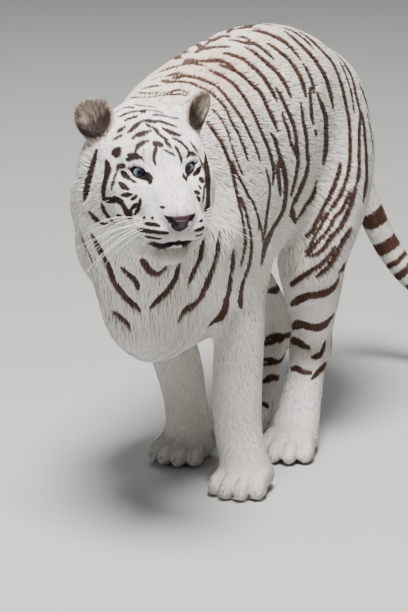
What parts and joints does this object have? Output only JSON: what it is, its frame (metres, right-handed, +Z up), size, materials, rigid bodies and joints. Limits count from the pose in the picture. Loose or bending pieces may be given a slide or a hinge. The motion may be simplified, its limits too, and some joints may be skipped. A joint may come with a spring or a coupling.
{
  "type": "white tiger model",
  "caption": "Life-size still model of an adult white tiger standing on all four feet with its head turned, back arched and tail hanging to one side.",
  "frame": {"origin": "on the floor under the middle of the animal's bounding box", "axes": "+Z up; the tiger faces -Y, with its tail end at +Y; +X is the tiger's left"},
  "size_m": [0.5624, 1.529, 0.9146],
  "materials": {
    "coat": "short dense fur, cream white with dark brown stripes",
    "ear_fur": "thin grey-brown fur over skin",
    "nose_leather": "fine-grained, slightly moist, mauve pink",
    "eyes": "wet, glossy, pale blue iris",
    "claws": "translucent horn"
  },
  "bodies": {
    "root": {"barrel": "coat", "ear_left": "ear_fur", "ear_right": "ear_fur", "eye_left": "eyes", "eye_right": "eyes", "foreleg_left": "coat", "foreleg_right": "coat", "forepaw_left": "coat", "forepaw_left_claw_1": "claws", "forepaw_left_claw_2": "claws", "forepaw_left_claw_3": "claws", "forepaw_left_claw_4": "claws", "forepaw_right": "coat", "forepaw_right_claw_1": "claws", "forepaw_right_claw_2": "claws", "forepaw_right_claw_3": "claws", "forepaw_right_claw_4": "claws", "head": "coat", "hindpaw_left": "coat", "hindpaw_left_claw_1": "claws", "hindpaw_left_claw_2": "claws", "hindpaw_left_claw_3": "claws", "hindpaw_left_claw_4": "claws", "hindpaw_right": "coat", "hindpaw_right_claw_1": "claws", "hindpaw_right_claw_2": "claws", "hindpaw_right_claw_3": "claws", "hindpaw_right_claw_4": "claws", "hindquarters": "coat", "neck": "coat", "nose": "nose_leather", "shank_left": "coat", "shank_right": "coat", "shoulders": "coat", "tail_1": "coat", "tail_2": "coat", "tail_3": "coat", "tail_4": "coat", "tail_5": "coat", "tail_6": "coat", "thigh_left": "coat", "thigh_right": "coat"}
  },
  "joints": []
}
